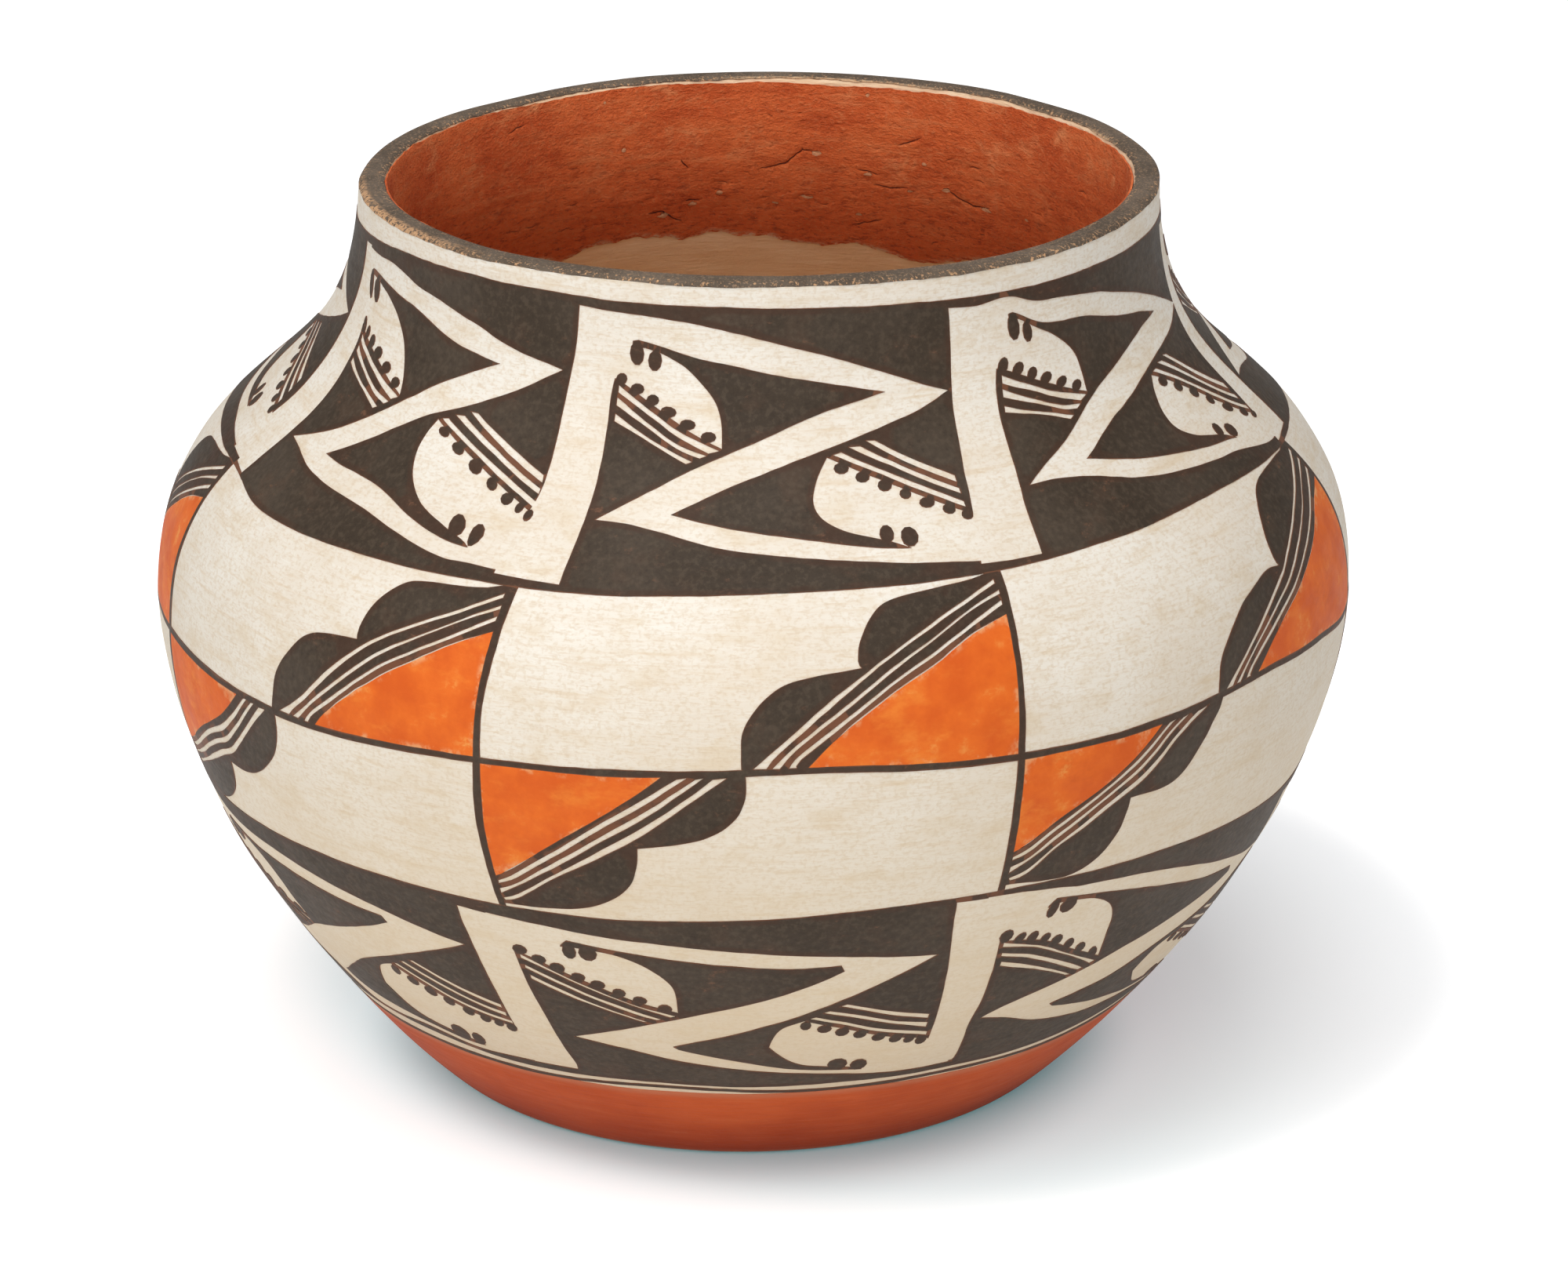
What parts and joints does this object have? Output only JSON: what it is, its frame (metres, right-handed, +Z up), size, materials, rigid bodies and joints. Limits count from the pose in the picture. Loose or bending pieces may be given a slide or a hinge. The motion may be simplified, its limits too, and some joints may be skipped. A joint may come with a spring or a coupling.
{
  "type": "pottery water jar",
  "caption": "Coil-built pottery water jar with a hollowed base, full belly, high shoulder and wide flaring mouth, slipped white over a red foot and painted in black and orange.",
  "frame": {"origin": "centre of the ring under the base that the jar stands on", "axes": "+Z up along the jar's axis; the painted design makes one side as good a front as the next, and -Y is the side towards the camera in the picture"},
  "size_m": [0.26, 0.26, 0.198],
  "materials": {
    "red_slip": "stone-rubbed red clay slip, matte with a soft sheen, worn and spalled in specks",
    "white_slip": "stone-polished cream clay slip, matte with a soft sheen, mottled tan",
    "black_paint": "matte brown-black mineral and plant paint, brushed, with worn brown edges and pinholes",
    "orange_paint": "matte orange ochre paint, brushed, streaky and worn",
    "bare_clay": "bare scraped earthenware, matte and slightly gritty"
  },
  "bodies": {
    "root": {"moulded_base": "red_slip", "wall_coil_1": "white_slip", "wall_coil_2": "white_slip", "wall_coil_3": "white_slip", "wall_coil_4": "white_slip", "wall_coil_5": "white_slip", "wall_coil_6": "white_slip", "wall_coil_7": "white_slip", "lip_coil": "black_paint"}
  },
  "joints": []
}
